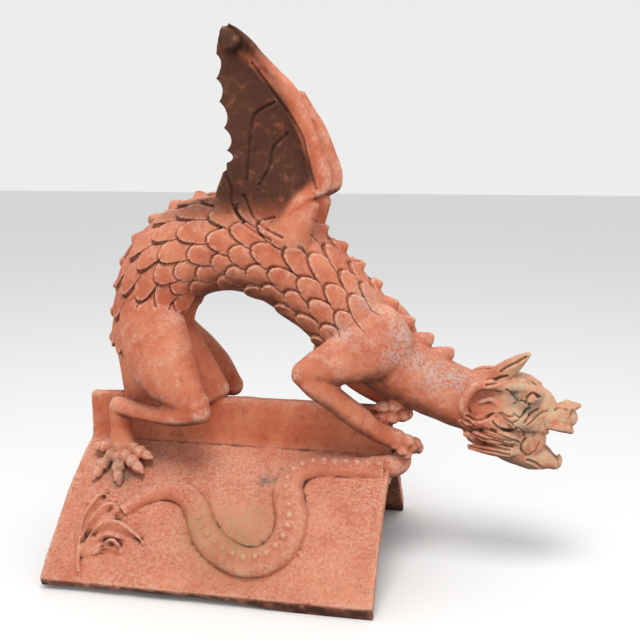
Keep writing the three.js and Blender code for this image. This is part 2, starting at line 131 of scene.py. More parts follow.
def limb(stations, across=(0, 1, 0), sides=24, pitch=4.0, swell=None, square=1.0):
    # an oval limb along a smooth path, x y z half width half depth, with domed ends
    stations = np.asarray(stations, float)
    length = np.linalg.norm(np.diff(stations[:, :3], axis=0), axis=1).sum()
    shares = np.linspace(0, 1, max(8, int(length / pitch)))
    centre, along, side, deep, size = pathFrames(stations, shares, across)
    if swell is not None:
        size = size * np.array([swell(t) for t in shares])[:, None]
    angles = np.arange(sides) / sides * 2 * math.pi
    c, s = np.cos(angles), np.sin(angles)
    c, s = np.sign(c) * np.abs(c) ** square, np.sign(s) * np.abs(s) ** square

    def ring(k, grow, shift):
        flat = c[:, None] * side[k] * size[k, 0] + s[:, None] * deep[k] * size[k, 1]
        return centre[k] + flat * grow + along[k] * shift

    rings = []
    reach = size.min(1)
    for degrees in (80, 60, 40, 20):
        a = math.radians(degrees)
        rings.append(ring(0, math.cos(a), -math.sin(a) * reach[0]))
    rings += [ring(k, 1, 0) for k in range(len(shares))]
    for degrees in (20, 40, 60, 80):
        a = math.radians(degrees)
        rings.append(ring(-1, math.cos(a), math.sin(a) * reach[-1]))
    return skinned(rings)


def sided(side, stations):  # near-side stations, turned to the given side
    return [(s[0], s[1] * -side, *s[2:]) for s in stations]


def clayMesh(forms):  # one mesh of many closed forms
    verts, faces, base = [], [], 0
    for v, f in forms:
        verts.append(v)
        faces += [tuple(i + base for i in face) for face in f]
        base += len(v)
    mesh = bpy.data.meshes.new("clayForms")
    mesh.from_pydata(np.vstack(verts).tolist(), [], faces)
    return mesh


def worked(mesh, *steps):  # the mesh with modifiers applied
    holder = bpy.data.objects.new("clayWork", mesh)
    bpy.context.scene.collection.objects.link(holder)
    for kind, settings in steps:
        modifier = holder.modifiers.new(kind, kind)
        for name, value in settings.items():
            setattr(modifier, name, value)
    result = bpy.data.meshes.new_from_object(holder.evaluated_get(bpy.context.evaluated_depsgraph_get()))
    bpy.data.objects.remove(holder)
    bpy.data.meshes.remove(mesh)
    return result


def fused(mesh, size, smoothing):  # overlapping forms pressed into one skin
    remesh = {"mode": "VOXEL", "voxel_size": size, "adaptivity": 0}
    return worked(mesh, ("REMESH", remesh), ("SMOOTH", {"factor": 0.5, "iterations": smoothing}))


def placesOf(mesh):
    places = np.empty(len(mesh.vertices) * 3, np.float32)
    mesh.vertices.foreach_get("co", places)
    return places.reshape(-1, 3).astype(float)


def normalsOf(mesh):
    normals = np.empty(len(mesh.vertices) * 3, np.float32)
    mesh.vertices.foreach_get("normal", normals)
    return normals.reshape(-1, 3).astype(float)


# The ridge tile.

tile = {
    "length": 457, "halfWidth": 192, "edgeHeight": 17, "creaseHeight": 164, "crestHeight": 231,
    "crestHalfThickness": 10, "bow": 12, "wall": 17,
    "footInset": 4, "footThickness": 12,
    # the near eaves are worn off underneath: x and height
    "eavesWear": [(-228.5, 5), (-110, 9), (30, 8), (120, 0), (228.5, 0)],
    # half thickness of the crest at each height: it spreads into the slopes and is eased at the top
    "crestProfile": [
        (120, 17), (158, 15), (165, 13.5), (172, 11), (180, 10), (226, 10), (229.6, 8.4), (231, 6),
    ],
}


def onSlope(x, down, side, lift=0.0):  # down runs from 0 at the crease to 1 at the eaves
    x, down = np.asarray(x, float), np.asarray(down, float)
    run = tile["halfWidth"] - tile["crestHalfThickness"]
    drop = tile["creaseHeight"] - tile["edgeHeight"]
    span = math.hypot(run, drop)
    rise = 4 * tile["bow"] * down * (1 - down) + lift
    y = tile["crestHalfThickness"] + run * down + rise * drop / span
    z = tile["creaseHeight"] - drop * down + rise * run / span
    return np.stack(np.broadcast_arrays(x, side * y, z), -1)


def slopeNormal(side):
    return unit(onSlope(0, 0.5, side, 1) - onSlope(0, 0.5, side, 0))


def tileForms():
    forms = []
    half = tile["length"] / 2
    x = np.linspace(-half, half, 93)
    for side in (nearSide, farSide):
        down = np.linspace(-0.04, 1, 40)
        top = onSlope(x[:, None], down[None, :], side)
        under = onSlope(x[:, None], down[None, :], side, -tile["wall"])
        wear = np.interp(x, *np.transpose(tile["eavesWear"])) if side == nearSide else np.zeros(len(x))
        foot = tile["halfWidth"] - tile["footInset"]
        innerFoot = foot - tile["footThickness"]
        topFoot = np.stack([x, np.full(len(x), side * foot), wear], -1)[:, None]
        underFoot = np.stack([x, np.full(len(x), side * innerFoot), wear], -1)[:, None]
        inside = np.concatenate([under[:, :-1], underFoot, underFoot], 1)
        forms.append(slab(np.concatenate([top, topFoot], 1), inside))
    heights, halves = np.transpose(tile["crestProfile"])
    ease = 1.2 * np.sin(x / 37.0) + 0.8 * np.sin(x / 14.0 + 1)  # the top edge was cut by hand
    z = heights[None, :] + (heights[None, :] > 200) * ease[:, None] * 0.6
    along, across = np.repeat(x[:, None], len(heights), 1), np.repeat(halves[None, :], len(x), 0)
    forms.append(slab(np.stack([along, across, z], -1), np.stack([along, -across, z], -1)))
    return forms


# Trunk, neck and limbs.

trunk = {
    # x, z, half depth, half width, from rump to head
    "stations": [
        (-134, 232, 42, 34), (-129, 335, 56, 46), (-93, 425, 63, 54), (-15, 459, 67, 59), (66, 438, 64, 60),
        (140, 379, 58, 58), (200, 318, 54, 57), (260, 278, 46, 47), (318, 251, 42, 41), (354, 240, 42, 40),
    ],
}
trunkPath = np.array([(x, 0, z, width, depth) for x, z, depth, width in trunk["stations"]], float)

limbs = {
    "nearThigh": [
        (-124, -30, 366, 30, 44), (-110, -48, 330, 34, 52), (-92, -60, 294, 34, 50),
        (-66, -70, 262, 28, 38), (-40, -78, 240, 19, 22),
    ],
    "farThigh": [
        (-136, -26, 352, 28, 34), (-118, -42, 320, 31, 40), (-92, -56, 288, 31, 40),
        (-58, -68, 256, 26, 33), (-30, -74, 230, 18, 17),
    ],
    "shin": [
        (-34, -80, 231, 17, 18), (-66, -78, 221, 15, 14), (-120, -61, 219, 14, 13),
        (-168, -46, 223, 14, 14),
    ],
    "ankle": [(-170, -44, 220, 13, 14), (-168, -41, 190, 15, 16), (-164, -48, 162, 16, 20)],
    "groin": [(-112, 0, 340, 34, 44), (-92, 0, 285, 36, 50), (-72, 0, 228, 24, 62)],
    "upperArm": [
        (226, -26, 338, 30, 50), (200, -42, 324, 31, 48), (160, -62, 307, 25, 34), (128, -71, 296, 18, 24),
        (112, -75, 291, 14, 17),
    ],
    "nearForearm": [
        (110, -75, 290, 13, 15), (134, -70, 272, 17, 19), (162, -58, 247, 16, 18), (190, -44, 221, 15, 17),
        (214, -32, 200, 13, 15), (238, -24, 190, 13, 15),
    ],
    "wingRoot": [
        (120, -46, 520, 9, 12), (104, -48, 496, 15, 20), (84, -44, 466, 22, 34), (70, -38, 440, 20, 30),
    ],
    "farForearm": [
        (110, 75, 290, 13, 15), (140, 68, 272, 17, 19), (176, 52, 252, 16, 18), (212, 34, 238, 15, 16),
        (240, 16, 228, 15, 14),
    ],
}


def bodyForms():
    forms = [limb(trunkPath, sides=48), limb(limbs["groin"], sides=32)]
    for side, thigh in ((nearSide, "nearThigh"), (farSide, "farThigh")):
        for name in (thigh, "shin", "ankle", "upperArm", "wingRoot"):
            forms.append(limb(sided(side, limbs[name])))
    forms.append(limb(limbs["nearForearm"]))
    forms.append(limb(limbs["farForearm"]))
    return forms


# Scales and thorns.

scales = {
    "start": 0.1, "end": 0.6, "rows": 12, "onEachFlank": 5, "lastAngle": 136,
    "tailEdge": 8.0, "headEdge": -4.0, "dome": 1.4, "jitter": 0.05, "seed": 4,
    "groove": 2.2, "grooveWidth": 1.5,
    # where scales can be: x, z and reach from the middle plane; how far from the skin still counts
    "x": (-205, 250), "lowest": 290, "reach": 74, "skin": (-12, 13), "flankRadius": 58,
}


def onTrunk(shares, degrees):  # place and outward direction, degrees from the spine round the far flank
    centre, along, side, deep, size = pathFrames(trunkPath, shares)
    a = np.radians(degrees)
    s, c = np.sin(a)[:, None], np.cos(a)[:, None]
    place = centre + side * s * size[:, :1] + deep * c * size[:, 1:]
    return place, unit(side * s / size[:, :1] + deep * c / size[:, 1:])


def scaleLayout():  # share along the trunk, degrees, half length, half width of every scale, tail end first
    rng = np.random.default_rng(scales["seed"])
    rowGap = (scales["end"] - scales["start"]) / scales["rows"]
    columnGap = scales["lastAngle"] / scales["onEachFlank"]
    layout = []
    for row in range(scales["rows"] + 1):
        offset = 0.5 if row % 2 else 0.0
        for column in range(-scales["onEachFlank"], scales["onEachFlank"] + 1):
            degrees = (column + offset) * columnGap
            if abs(degrees) > scales["lastAngle"] + 2:
                continue
            low = abs(degrees) / scales["lastAngle"]
            nudge = rng.normal(0, scales["jitter"], 4)
            t = scales["start"] + (row + 0.5 + nudge[2]) * rowGap
            long = rowGap * (1.12 + nudge[0]) * (1.1 - 0.12 * low)
            wide = columnGap * (0.57 + 0.4 * nudge[1])
            layout.append((t, degrees + columnGap * nudge[3], long, wide))
    return layout


def scaleForms():
    around = np.arange(22) / 22 * 2 * math.pi
    # each ring: share of the outline, height against the scale's own slope
    profile = [
        (0.5, None), (0.86, None), (1.0, -1.6), (0.99, -0.4), (0.95, 0.1), (0.75, 0.0), (0.45, 0.0),
        (0.2, 0.0),
    ]
    forms = []
    for t, degrees, long, wide in scaleLayout():
        rings = []
        for share, lift in profile:
            u, v = share * np.cos(around), share * np.sin(around)
            place, out = onTrunk(t - u * long, degrees + v * wide)
            slope = scales["headEdge"] + (scales["tailEdge"] - scales["headEdge"]) * (u + 1) / 2
            height = slope + scales["dome"] * (1 - share**2)
            height = np.full(len(u), -6.0) if lift is None else height + lift
            rings.append(place + out * height[:, None])
        forms.append(skinned(rings))
    return forms


def trunkPlace(points):  # share along the trunk, degrees from the spine, height above the skin
    samples = np.linspace(-0.02, 1.0, 300)
    centre, along, side, deep, size = pathFrames(trunkPath, samples)
    nearest = np.concatenate([
        ((part[:, None, [0, 2]] - centre[None, :, [0, 2]]) ** 2).sum(-1).argmin(1)
        for part in np.array_split(points, max(1, len(points) // 4000))
    ])
    offset = points - centre[nearest]
    step = np.linalg.norm(centre[1] - centre[0])
    share = samples[nearest] + (offset * along[nearest]).sum(1) / step * (samples[1] - samples[0]) * 0.9
    s = (offset * side[nearest]).sum(1) / size[nearest, 0]
    d = (offset * deep[nearest]).sum(1) / size[nearest, 1]
    return share, np.degrees(np.arctan2(s, d)), (np.hypot(s, d) - 1) * size[nearest].mean(1)


def scaleField(points):  # how deep in a groove between scales each point lies, and how near a free edge
    groove, lip = np.zeros(len(points)), np.zeros(len(points))
    x, y, z = points.T
    (first, final), (lowest, highest) = scales["x"], scales["skin"]
    region = (np.abs(y) < scales["reach"]) & (z > scales["lowest"]) & (x > first) & (x < final)
    chosen = np.flatnonzero(region)
    share, degrees, height = trunkPlace(points[chosen])
    onSkin = (height > lowest) & (height < highest)
    chosen, share, degrees = chosen[onSkin], share[onSkin], degrees[onSkin]
    frames = pathFrames(trunkPath, np.array([0.2, 0.3]))
    lengthScale = np.linalg.norm(frames[0][1] - frames[0][0]) / 0.1
    g, l = np.zeros(len(chosen)), np.zeros(len(chosen))
    for t, middle, long, wide in scaleLayout():
        u, v = (t - share) / long, (degrees - middle) / wide
        r = np.hypot(u, v)
        close = np.abs(r - 1) < 0.5
        reach = 0.5 * (long * lengthScale + np.radians(wide) * scales["flankRadius"])
        out = (r - 1) * reach
        free = np.clip(u * 2 + 0.9, 0, 1) * close
        inside = r < 1
        g = np.where(inside, g * (1 - np.clip((1 - r) * 6, 0, 1)), g)
        l = np.where(inside, l * (1 - np.clip((1 - r) * 6, 0, 1)), l)
        g = np.maximum(g, free * np.exp(-(((out - 0.8) / scales["grooveWidth"]) ** 2)) * (out > -0.6))
        l = np.maximum(l, free * np.exp(-(((out + 2.0) / 1.5) ** 2)))
    groove[chosen], lip[chosen] = g, l
    return groove, lip


thorns = {
    # distance along the back of the first and last, how many, size, lean of the point towards the head
    "tail": {"first": 88, "last": 392, "count": 9, "length": 36, "width": 26, "height": 14, "lean": -0.2},
    "head": {"first": 492, "last": 775, "count": 9, "length": 34, "width": 22, "height": 16, "lean": 0.28},
}
backShares = np.linspace(0, 1, 401)
backPlaces = onTrunk(backShares, np.zeros(401))[0]
backLengths = np.concatenate([[0], np.cumsum(np.linalg.norm(np.diff(backPlaces, axis=0), axis=1))])


def thornForms():
    forms = []
    around = np.arange(20) / 20 * 2 * math.pi
    # share of the height, share of the size there
    thornProfile = ((-0.5, 1.0), (0.0, 1.0), (0.35, 0.82), (0.7, 0.5), (0.95, 0.26), (1.0, 0.14))
    for row in thorns.values():
        for distance in np.linspace(row["first"], row["last"], row["count"]):
            t = np.interp(distance, backLengths, backShares)
            place, out = onTrunk([t], [0])
            along, side = (f[0] for f in pathFrames(trunkPath, [t])[1:3])
            rings = []
            for share, grow in thornProfile:
                height = share * row["height"]
                shift = row["lean"] * row["length"] * max(share, 0)
                long, wide = row["length"] / 2 * grow, row["width"] / 2 * grow**1.3
                c, s = np.cos(around)[:, None], np.sin(around)[:, None]
                rings.append(place[0] + out[0] * height + along * (shift + c * long) + side * s * wide)
            forms.append(skinned(rings))
    return forms


# Wings.

wings = {
    # x and z of the leading edge, x and z of the trailing edge, from root to tip
    "ribs": [
        (106, 474, 14, 470), (104, 500, -11, 498), (120, 522, -14, 528), (143, 536, -6, 552),
        (146, 560, 3, 574), (135, 590, 2, 590), (121, 626, -1, 620), (100, 669, -8, 655),
        (62, 707, -13, 685), (36, 735, -11, 717), (18, 750, -7, 742), (6, 757, -3, 753),
    ],
    "brokenTop": {"ribs": 8, "leading": 92, "trailing": -6, "height": 673},
    "bluntTip": [(12, -36, 732, 8, 16), (4, -36, 742, 8, 11), (0, -36, 747, 6, 7)],
    "rootY": 51, "tipY": 36, "thickness": 11, "tipShare": 0.75, "dish": 10,
    "firstScallop": 4, "lastScallop": 9, "scallop": 8,
    # across the wing from the leading edge: place, share of the half thickness
    "section": [
        (0, 0.25), (0.02, 0.62), (0.06, 0.95), (0.11, 1.03), (0.17, 0.92), (0.24, 0.6), (0.3, 0.5),
        (0.65, 0.46), (0.93, 0.5), (0.985, 0.4), (1, 0.2),
    ],
}


def wingForm(side, ribs):
    ribs = np.asarray(ribs, float)
    spans = len(ribs) - 1
    along = np.linspace(0, 1, spans * 12 + 1)
    leading = smoothPath(np.stack([ribs[:, 0], ribs[:, 0] * 0, ribs[:, 1]], 1), along)
    trailing = smoothPath(np.stack([ribs[:, 2], ribs[:, 2] * 0, ribs[:, 3]], 1), along)
    at = along * spans
    inside = (at >= wings["firstScallop"]) & (at <= min(wings["lastScallop"], spans))
    bite = np.where(inside, np.abs(np.sin(at * math.pi)) ** 0.8, 0) * wings["scallop"]
    trailing -= unit(trailing - leading) * bite[:, None]
    first, final = wings["ribs"][0][1], wings["ribs"][-1][1]
    height = (leading[:, 2] - first) / (final - first)
    middle = wings["rootY"] + (wings["tipY"] - wings["rootY"]) * height
    thickness = wings["thickness"] * (1 + (wings["tipShare"] - 1) * height)
    u = np.unique(np.concatenate([np.linspace(0, 1, 34), np.array([s[0] for s in wings["section"]])]))
    share = np.interp(u, *np.transpose(wings["section"]))
    faces = []
    for face in (1, -1):
        grid = leading[:, None] * (1 - u[None, :, None]) + trailing[:, None] * u[None, :, None]
        dished = wings["dish"] * np.sin(math.pi * u)
        body = face * thickness[:, None] * share[None, :]
        grid[..., 1] = side * (middle[:, None] - dished[None, :] + body)
        faces.append(grid)
    return slab(*faces)


def wingForms():
    broken = wings["brokenTop"]
    short = wings["ribs"][: broken["ribs"] - 1]
    short = short + [(broken["leading"], broken["height"], broken["trailing"], broken["height"] - 4)]
    tip = limb(wings["bluntTip"], sides=20, pitch=2)
    return [wingForm(nearSide, wings["ribs"]), wingForm(farSide, short), tip]


# Feet and hands.

digits = {
    "lift": 3.0,  # the toes lie on the slope, not in it
    "hind": [
        [(-178, -44, 160), (-195, -48, 157), (-209, -50, 160)],
        [(-174, -54, 152), (-187, -71, 136), (-194, -88, 120)],
        [(-166, -58, 149), (-160, -75, 134), (-152, -91, 117)],
        [(-158, -58, 152), (-138, -69, 143), (-120, -79, 132)],
        [(-150, -50, 160), (-129, -57, 155), (-111, -61, 149)],
    ],
    "nearHand": [
        [(232, -26, 196), (256, -22, 186), (262, -10, 166)],
        [(236, -20, 190), (264, -12, 180), (268, 2, 163)],
        [(232, -28, 188), (248, -26, 174), (256, -16, 160)],
    ],
    "farHand": [
        [(250, -2, 237), (230, -17, 236), (200, -17, 231)],
        [(250, -4, 222), (226, -17, 219), (203, -17, 219)],
    ],
    # share of the length and of the thickness: two knuckles, a crease and a claw
    "profile": [
        (0, 0.85), (0.12, 1.02), (0.22, 0.86), (0.27, 0.68), (0.34, 0.92), (0.45, 1.02), (0.55, 0.86),
        (0.59, 0.58), (0.62, 0.8), (0.72, 0.84), (0.84, 0.66), (0.94, 0.36), (1, 0.14),
    ],
}


def digitForm(root, knuckle, tip, thickness=9.4):
    path = [(*p, thickness, thickness) for p in (root, knuckle, tip)]
    shares, grows = np.transpose(digits["profile"])
    return limb(path, across=(0.3, 1, 0.1), sides=18, pitch=1.5, swell=lambda t: np.interp(t, shares, grows))


def digitForms():
    forms = []
    for side in (nearSide, farSide):
        lifted = slopeNormal(side) * digits["lift"]
        for places in digits["hind"]:
            forms.append(digitForm(*(np.array(p) + lifted for p in sided(side, places))))
    forms += [digitForm(*places) for places in digits["nearHand"]]
    forms += [digitForm(*places, 10.5) for places in digits["farHand"]]
    return forms


# Tail and leaf.

tail = {
    # x, share down the slope, half width
    "far": [
        (-130, 0.02, 26), (-100, 0.14, 22), (-50, 0.2, 20), (20, 0.19, 18), (90, 0.16, 17), (160, 0.13, 17),
        (222, 0.12, 16),
    ],
    "near": [
        (222, 0.13, 16), (160, 0.14, 17), (125, 0.15, 18), (101, 0.21, 19), (92, 0.31, 21), (98, 0.42, 22),
        (106, 0.53, 22), (104, 0.66, 22), (86, 0.77, 21), (56, 0.81, 21), (20, 0.76, 21), (-9, 0.66, 20),
        (-27, 0.53, 18), (-48, 0.43, 17), (-79, 0.4, 15), (-109, 0.45, 13), (-136, 0.56, 10),
    ],
    "crossing": [
        (204, 34, 148, 12, 18), (234, 20, 150, 13, 17), (242, 0, 150, 15, 17), (234, -20, 150, 13, 17),
        (204, -34, 148, 12, 18),
    ],
    "rise": 0.82, "knobPitch": 15.5, "knobEnd": 0.84, "knobHeight": 6.5, "knobSize": 6.6,
}
leaf = {
    # x, share down, half width of each lobe; x, share down of the ridges and hollows worked into them
    "lobes": [
        [(-180, 0.86, 5), (-184, 0.75, 10), (-184, 0.646, 13), (-177, 0.551, 12), (-165, 0.458, 6)],
        [(-179, 0.84, 5), (-178, 0.74, 10), (-172, 0.66, 13), (-162, 0.585, 14), (-144, 0.538, 9)],
        [
            (-179, 0.85, 6), (-170, 0.742, 11), (-154, 0.683, 13), (-131, 0.683, 13), (-110, 0.71, 9),
            (-94, 0.752, 3),
        ],
        [(-172, 0.84, 4), (-150, 0.79, 8), (-135, 0.785, 8), (-122, 0.807, 4)],
    ],
    "ridges": [
        [
            (-175, 0.94), (-179, 0.878), (-180, 0.819), (-183, 0.753), (-186, 0.676), (-186, 0.615),
            (-181, 0.54), (-174, 0.475), (-166, 0.467),
        ],
        [
            (-180, 0.81), (-180, 0.743), (-178, 0.682), (-171, 0.595), (-162, 0.548), (-152, 0.535),
            (-143, 0.566),
        ],
        [(-178, 0.818), (-173, 0.763), (-167, 0.706), (-159, 0.652), (-147, 0.61)],
        [
            (-177, 0.827), (-170, 0.748), (-161, 0.679), (-148, 0.649), (-132, 0.652), (-114, 0.692),
            (-102, 0.724), (-94, 0.752),
        ],
        [(-149, 0.777), (-137, 0.761), (-128, 0.782), (-122, 0.802)],
        [(-158, 0.833), (-149, 0.81), (-136, 0.801), (-122, 0.811)],
    ],
    "hollows": [
        [(-184, 0.7), (-182, 0.614), (-176, 0.553), (-169, 0.49)],
        [(-178, 0.761), (-171, 0.666), (-163, 0.6), (-153, 0.562)],
        [(-164, 0.725), (-153, 0.69), (-141, 0.684), (-129, 0.7), (-114, 0.728), (-100, 0.753)],
        [(-150, 0.795), (-136, 0.783), (-127, 0.8)],
    ],
    "rise": 0.62, "ridgeLift": 8.0, "ridgeRadius": 3.2, "hollowWidth": 5.0, "hollowDepth": 5.0,
}


def ribbonFrames(stations, side, count):
    stations = np.asarray(stations, float)
    shares = np.linspace(0, 1, count)
    centres = onSlope(stations[:, 0], stations[:, 1], side)
    path = smoothPath(centres, shares)
    out = slopeNormal(side)
    across = unit(np.cross(out, np.gradient(path, axis=0)))
    width = smoothPath(np.stack([stations[:, 2], stations[:, 2] * 0], 1), shares)[:, 0]
    return path, across, out, width


def ribbon(stations, side, rise):  # a half-round band of clay lying on a slope
    path, across, out, width = ribbonFrames(stations, side, 90)
    angles = np.radians(np.linspace(-20, 200, 19))
    rings = []
    for k in range(len(path)):
        u = np.cos(angles) * width[k]
        h = np.sin(angles) * width[k] * rise
        rings.append(path[k] + across[k] * u[:, None] + out * h[:, None])
    return skinned(rings)


def knobForms():  # the row of knobs on the crest of the near tail
    path, across, out, width = ribbonFrames(tail["near"], nearSide, 900)
    lengths = np.concatenate([[0], np.cumsum(np.linalg.norm(np.diff(path, axis=0), axis=1))])
    end = lengths[-1] * tail["knobEnd"]
    forms = []
    for distance in np.arange(6, end, tail["knobPitch"]):
        k = int(np.searchsorted(lengths, distance))
        along = unit(np.cross(across[k], out))
        size = np.interp(distance / end, [0, 0.6, 1], [1, 0.9, 0.5])
        top = path[k] + out * width[k] * tail["rise"]
        rings = []
        around = np.arange(12) / 12 * 2 * math.pi
        for h, grow in ((-0.8, 1.25), (0, 1.05), (0.45, 0.75), (0.8, 0.48), (1, 0.22)):
            c, s = np.cos(around)[:, None], np.sin(around)[:, None]
            spread = tail["knobSize"] * grow * size
            rise = out * h * size * tail["knobHeight"]
            rings.append(top + rise + along * c * spread + across[k] * s * spread)
        forms.append(skinned(rings))
    return forms


def tailForms():
    forms = [ribbon(tail["far"], farSide, tail["rise"]), ribbon(tail["near"], nearSide, tail["rise"])]
    forms.append(limb(tail["crossing"], across=(1, 0, 0.01)))
    forms += knobForms()
    forms += [ribbon(lobe, nearSide, leaf["rise"]) for lobe in leaf["lobes"]]
    for ridge in leaf["ridges"]:
        x, down = np.transpose(ridge)
        ends = np.sin(np.linspace(0.35, 2.8, len(x)))  # ridges sink into the slope at both ends
        path = onSlope(x, down, nearSide, leaf["ridgeLift"] * np.minimum(1, ends * 1.3) - 1)
        forms.append(limb([(*p, leaf["ridgeRadius"], leaf["ridgeRadius"]) for p in path], sides=14, pitch=2))
    return forms


# Head.

head = {
    "middle": {
        "skull": [
            (338, 0, 244, 40, 42), (362, 0, 243, 43, 48), (390, 0, 240, 41, 49), (412, 0, 236, 36, 45),
            (430, 0, 237, 27, 33),
        ],
        "muzzle": [
            (420, 0, 233, 31, 26), (440, 0, 231, 25, 17), (456, 0, 229, 21, 16), (467, 0, 229, 18, 16),
            (472, 0, 228, 13, 13),
        ],
        "jaw": [
            (372, 0, 196, 36, 24), (398, 0, 186, 34, 26), (420, 0, 174, 29, 22), (440, 0, 170, 22, 19),
            (455, 0, 165, 15, 12),
        ],
        "noseHorn": [(452, 0, 236, 15, 8), (468, 0, 241, 14, 9), (480, 0, 245, 9, 6), (485, 0, 246, 5, 4)],
        "snout": [(470, 0, 246, 11, 7), (471, 0, 230, 13, 8), (467, 0, 214, 13, 7)],
        "throat": [
            (350, 0, 205, 26, 22), (384, 0, 203, 30, 30), (412, 0, 196, 28, 34), (424, 0, 200, 24, 28),
        ],
    },
    # the far horn is worn a little shorter
    "horns": [
        [(358, -13, 272, 9, 13), (378, -15, 288, 8, 15), (398, -16, 305, 6, 11), (415, -16, 319, 3, 4)],
        [(358, 13, 268, 9, 12), (378, 15, 281, 8, 13), (396, 15, 295, 6, 9), (408, 15, 304, 3, 4)],
    ],
    "eachSide": {
        "ear": [
            (390, -28, 266, 4, 5), (368, -41, 279, 6, 7), (344, -45, 275, 7, 7), (330, -44, 252, 7, 7),
            (334, -40, 236, 6, 6), (350, -34, 226, 4, 5),
        ],
        "earFold": [
            (352, -42, 255, 3, 3), (366, -41, 259, 4, 4), (378, -38, 249, 4, 4), (388, -34, 238, 3, 3),
        ],
        "earLobe": [(384, -32, 262, 4, 6), (374, -36, 246, 6, 8), (352, -35, 236, 5, 6)],
        "brow": [
            (372, -28, 268, 5, 5), (396, -31, 275, 7, 7), (418, -27, 272, 8, 7), (434, -15, 261, 6, 6),
        ],
        "browTuft": [(404, -31, 266, 5, 5), (420, -29, 269, 6, 5), (431, -24, 267, 5, 5)],
        "eye": [(408, -31, 259, 3, 4), (420, -32, 260, 7, 6), (431, -24, 260, 4, 4)],
        "cheek": [(374, -34, 246, 5, 6), (404, -37, 231, 11, 14), (438, -16, 213, 6, 8)],
        "jowl": [(404, -26, 208, 8, 20), (420, -23, 200, 9, 22), (430, -19, 205, 7, 17)],
        "lip": [(432, -14, 222, 5, 6), (458, -19, 219, 6, 6), (470, -13, 215, 5, 6), (477, -7, 210, 3, 4)],
        "upperBeard": [(410, -26, 220, 5, 7), (366, -39, 227, 9, 10), (326, -38, 225, 2, 3)],
        "middleBeard": [(420, -24, 203, 4, 7), (376, -38, 207, 9, 10), (332, -37, 207, 2, 3)],
        "lowerBeard": [(424, -18, 184, 4, 6), (384, -34, 186, 8, 10), (338, -30, 187, 2, 4)],
    },
}


def headForms():
    forms = [limb(stations, sides=32) for stations in head["middle"].values()]
    forms += [limb(stations, pitch=2) for stations in head["horns"]]
    for side in (nearSide, farSide):
        forms += [limb(sided(side, stations), sides=18, pitch=2) for stations in head["eachSide"].values()]
    return forms


# Carved lines.

# each list of lines: x and z of its points, the least distance from the middle plane, width, depth, and how
# dark the staining and painted shade along it is
carving = {
    "wing": {
        "lines": [
            [(37, 705), (68, 665), (106, 612), (118, 568), (128, 540)],
            [(68, 654), (41, 637), (35, 608), (32, 572), (30, 552)],
            [(86, 613), (66, 593), (61, 568), (47, 545)],
            [(-2, 590), (2, 560), (9, 541), (10, 517), (23, 497), (42, 483), (67, 471)],
            [(26, 530), (32, 515), (38, 503), (57, 487), (84, 475)],
        ],
        "outside": 26, "width": 1.7, "depth": 2.8, "stainAndShade": 0.5,
    },
    "headDeep": {
        "lines": [
            [(378, 294), (387, 301), (400, 308), (411, 315)],
            [(360, 281), (371, 283), (379, 286), (387, 288)],
            [(418, 173), (429, 168), (440, 158)],
            [(414, 205), (409, 196), (410, 187), (417, 180)],
            [(333, 230), (343, 222), (352, 215), (363, 210), (382, 205), (397, 202)],
            [(327, 224), (341, 211), (355, 205), (374, 203), (393, 197)],
            [(338, 200), (352, 195), (369, 194), (394, 189)],
            [(335, 236), (346, 231), (357, 233), (370, 240)],
            [(370, 230), (376, 222), (387, 217), (398, 217), (402, 222)],
            [(367, 218), (379, 213), (390, 207), (401, 202), (405, 199)],
            [(397, 243), (405, 238), (412, 244), (418, 248)],
            [(412, 231), (420, 240), (429, 245)],
            [(412, 255), (414, 264), (422, 269), (430, 263)],
        ],
        "outside": 8, "width": 1.5, "depth": 3.2, "stainAndShade": 0.6,
    },
    "headFine": {
        "lines": [
            [(340, 189), (355, 187), (375, 186), (394, 182)],
            [(402, 222), (389, 232), (378, 241)],
            [(403, 224), (409, 217), (412, 209)],
            [(397, 254), (405, 258), (415, 255), (418, 251)],
            [(381, 242), (389, 238), (397, 240)],
            [(415, 227), (427, 234), (436, 241), (442, 242)],
            [(384, 234), (395, 230), (404, 235)],
            [(453, 242), (458, 244), (468, 243)],
            [(476, 242), (475, 235)],
            [(413, 255), (421, 256), (427, 259)],
            [(340, 207), (356, 200), (372, 198), (398, 193)],
            [(344, 218), (360, 214), (372, 211), (392, 206)],
            [(420, 180), (428, 186), (433, 198)],
            [(386, 273), (396, 265), (403, 257)],
        ],
        "outside": 6, "width": 1.2, "depth": 2.2, "stainAndShade": 0.45,
    },
    "foot": {
        "lines": [[(-190, 128), (-188, 122)], [(-160, 124), (-155, 119)], [(-134, 140), (-126, 135)]],
        "outside": 40, "width": 1.0, "depth": 1.2, "stainAndShade": 0.3,
    },
}

# the hollow in the lower jaw: its reach, the height of the jaw's top at the back, and its fall forwards
mouth = {"x": (424, 462), "z": (158, 205), "jawTop": 197, "jawFall": 0.72, "halfWidth": 15, "depth": 6}


def distanceTo(points, line):  # distance in the upright plane from points to a smooth line
    line = np.array([(x, 0, z) for x, z in line], float)
    line = smoothPath(line, np.linspace(0, 1, 6 * len(line)))[:, [0, 2]]
    best = np.full(len(points), 1e9)
    for a, b in zip(line[:-1], line[1:]):
        ab = b - a
        t = np.clip(((points - a) @ ab) / max(ab @ ab, 1e-9), 0, 1)
        best = np.minimum(best, np.linalg.norm(points - a - t[:, None] * ab, axis=1))
    return best
